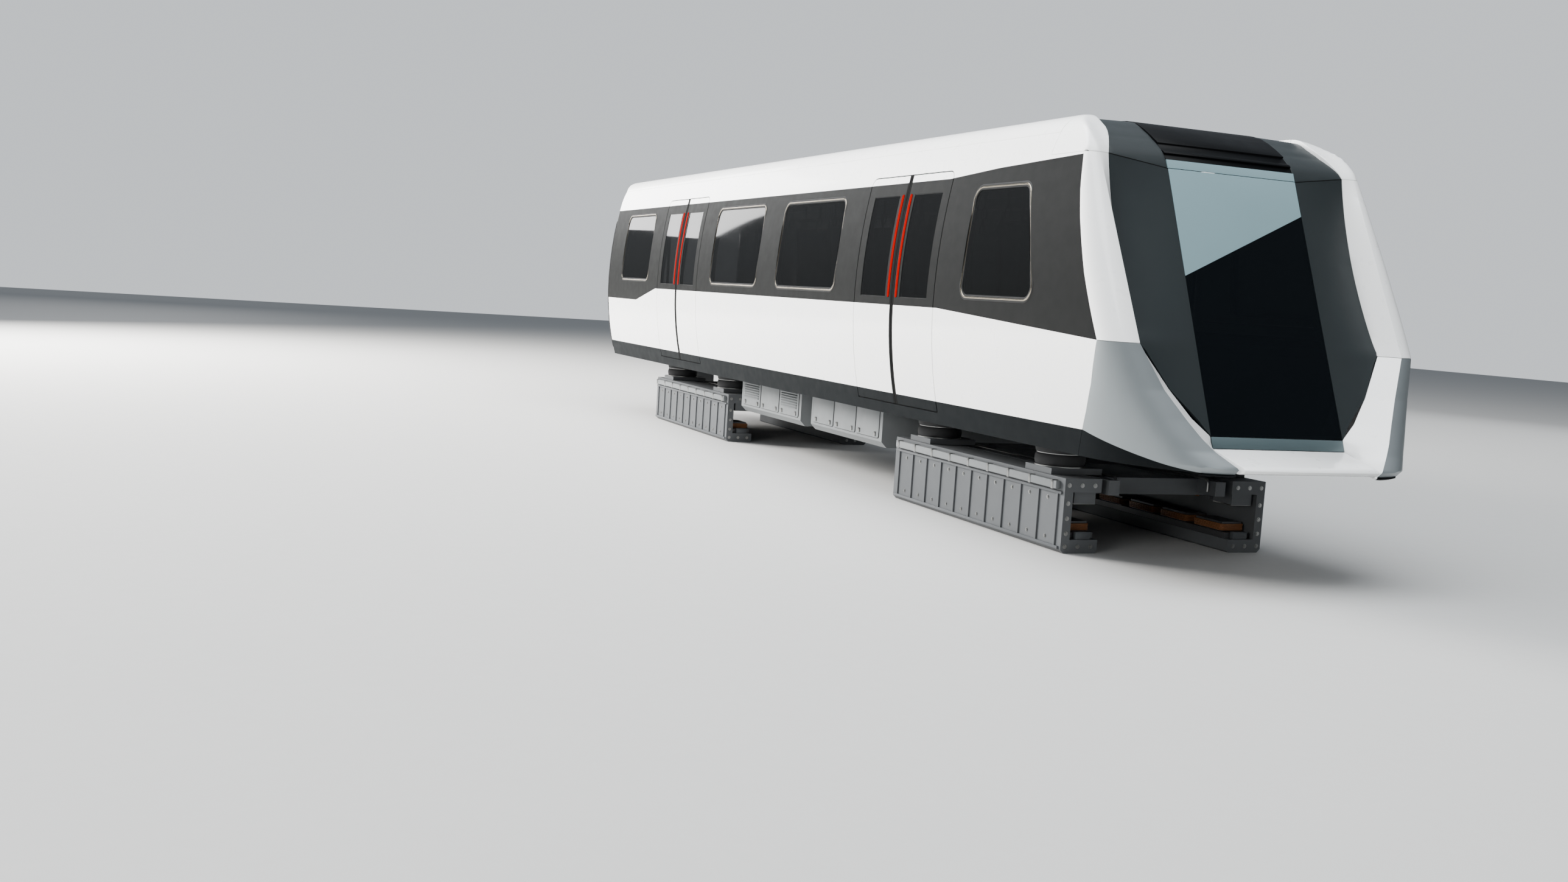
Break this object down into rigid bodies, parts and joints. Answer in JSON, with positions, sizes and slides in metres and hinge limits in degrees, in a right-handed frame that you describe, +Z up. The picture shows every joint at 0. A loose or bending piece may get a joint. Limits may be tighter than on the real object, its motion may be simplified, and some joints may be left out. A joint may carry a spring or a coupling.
{
  "type": "maglev train end car",
  "caption": "End car of a driverless urban magnetic levitation train with sloped nose, windows, sliding plug doors, gangway bellows and levitation chassis.",
  "frame": {"origin": "centre of the bounding box at the bottom of the levitation modules", "axes": "+X towards the nose, +Y to the car's left, +Z up"},
  "size_m": [14.1, 2.8486, 3.47],
  "materials": {
    "white_body": "gloss",
    "silver_panel": "satin",
    "dark_panel": "satin",
    "black_gloss": "gloss",
    "glass": "gloss",
    "rubber": "matte",
    "floor": "matte",
    "seat_fabric": "matte",
    "steel": "satin",
    "grey_metal": "satin",
    "magnet_copper": "satin"
  },
  "bodies": {
    "car_body": {"floor": "floor", "roof": "white_body", "rear_wall": "dark_panel", "gangway_bellows": "rubber", "side_wall_left": "white_body", "side_wall_right": "white_body", "window_front_left": "glass", "window_front_right": "glass", "window_centre_front_left": "glass", "window_centre_front_right": "glass", "window_centre_rear_left": "glass", "window_centre_rear_right": "glass", "window_rear_left": "glass", "window_rear_right": "glass", "door_front_left_leaf_ahead": "white_body", "door_front_left_leaf_ahead_pane": "glass", "door_front_left_leaf_behind": "white_body", "door_front_left_leaf_behind_pane": "glass", "door_front_right_leaf_ahead": "white_body", "door_front_right_leaf_ahead_pane": "glass", "door_front_right_leaf_behind": "white_body", "door_front_right_leaf_behind_pane": "glass", "door_rear_left_leaf_ahead": "white_body", "door_rear_left_leaf_ahead_pane": "glass", "door_rear_left_leaf_behind": "white_body", "door_rear_left_leaf_behind_pane": "glass", "door_rear_right_leaf_ahead": "white_body", "door_rear_right_leaf_ahead_pane": "glass", "door_rear_right_leaf_behind": "white_body", "door_rear_right_leaf_behind_pane": "glass", "nose_arch_left": "white_body", "nose_arch_right": "white_body", "nose_cheek_left": "silver_panel", "nose_cheek_right": "silver_panel", "nose_mask_left": "dark_panel", "nose_mask_right": "dark_panel", "nose_visor": "black_gloss", "nose_brow": "dark_panel", "nose_chin": "white_body", "nose_sill_strip": "silver_panel", "windscreen": "glass", "front_console": "dark_panel", "seat_row_left": "seat_fabric", "seat_row_right": "seat_fabric", "grab_poles_left": "steel", "grab_poles_right": "steel", "converter_box": "grey_metal", "battery_and_air_box": "grey_metal", "drawbar_bracket": "grey_metal"},
    "chassis_front": {"chassis_front_frame": "grey_metal", "chassis_front_module_left": "grey_metal", "chassis_front_module_right": "grey_metal", "chassis_front_magnets_left": "magnet_copper", "chassis_front_magnets_right": "magnet_copper"},
    "chassis_rear": {"chassis_rear_frame": "grey_metal", "chassis_rear_module_left": "grey_metal", "chassis_rear_module_right": "grey_metal", "chassis_rear_magnets_left": "magnet_copper", "chassis_rear_magnets_right": "magnet_copper"},
    "drawbar_link": {"drawbar": "steel"}
  },
  "joints": [
    {"name": "chassis_front_yaw", "type": "hinge", "parent": "car_body", "child": "chassis_front", "pos_m": [3.9, 0, 0.7], "axis": [0, 0, 1], "range_deg": [-4, 4]},
    {"name": "chassis_rear_yaw", "type": "hinge", "parent": "car_body", "child": "chassis_rear", "pos_m": [-3.9, 0, 0.7], "axis": [0, 0, 1], "range_deg": [-4, 4]},
    {"name": "drawbar_yaw", "type": "hinge", "parent": "car_body", "child": "drawbar_link", "pos_m": [-6.35, 0, 0.56], "axis": [0, 0, 1], "range_deg": [-15, 15]}
  ]
}
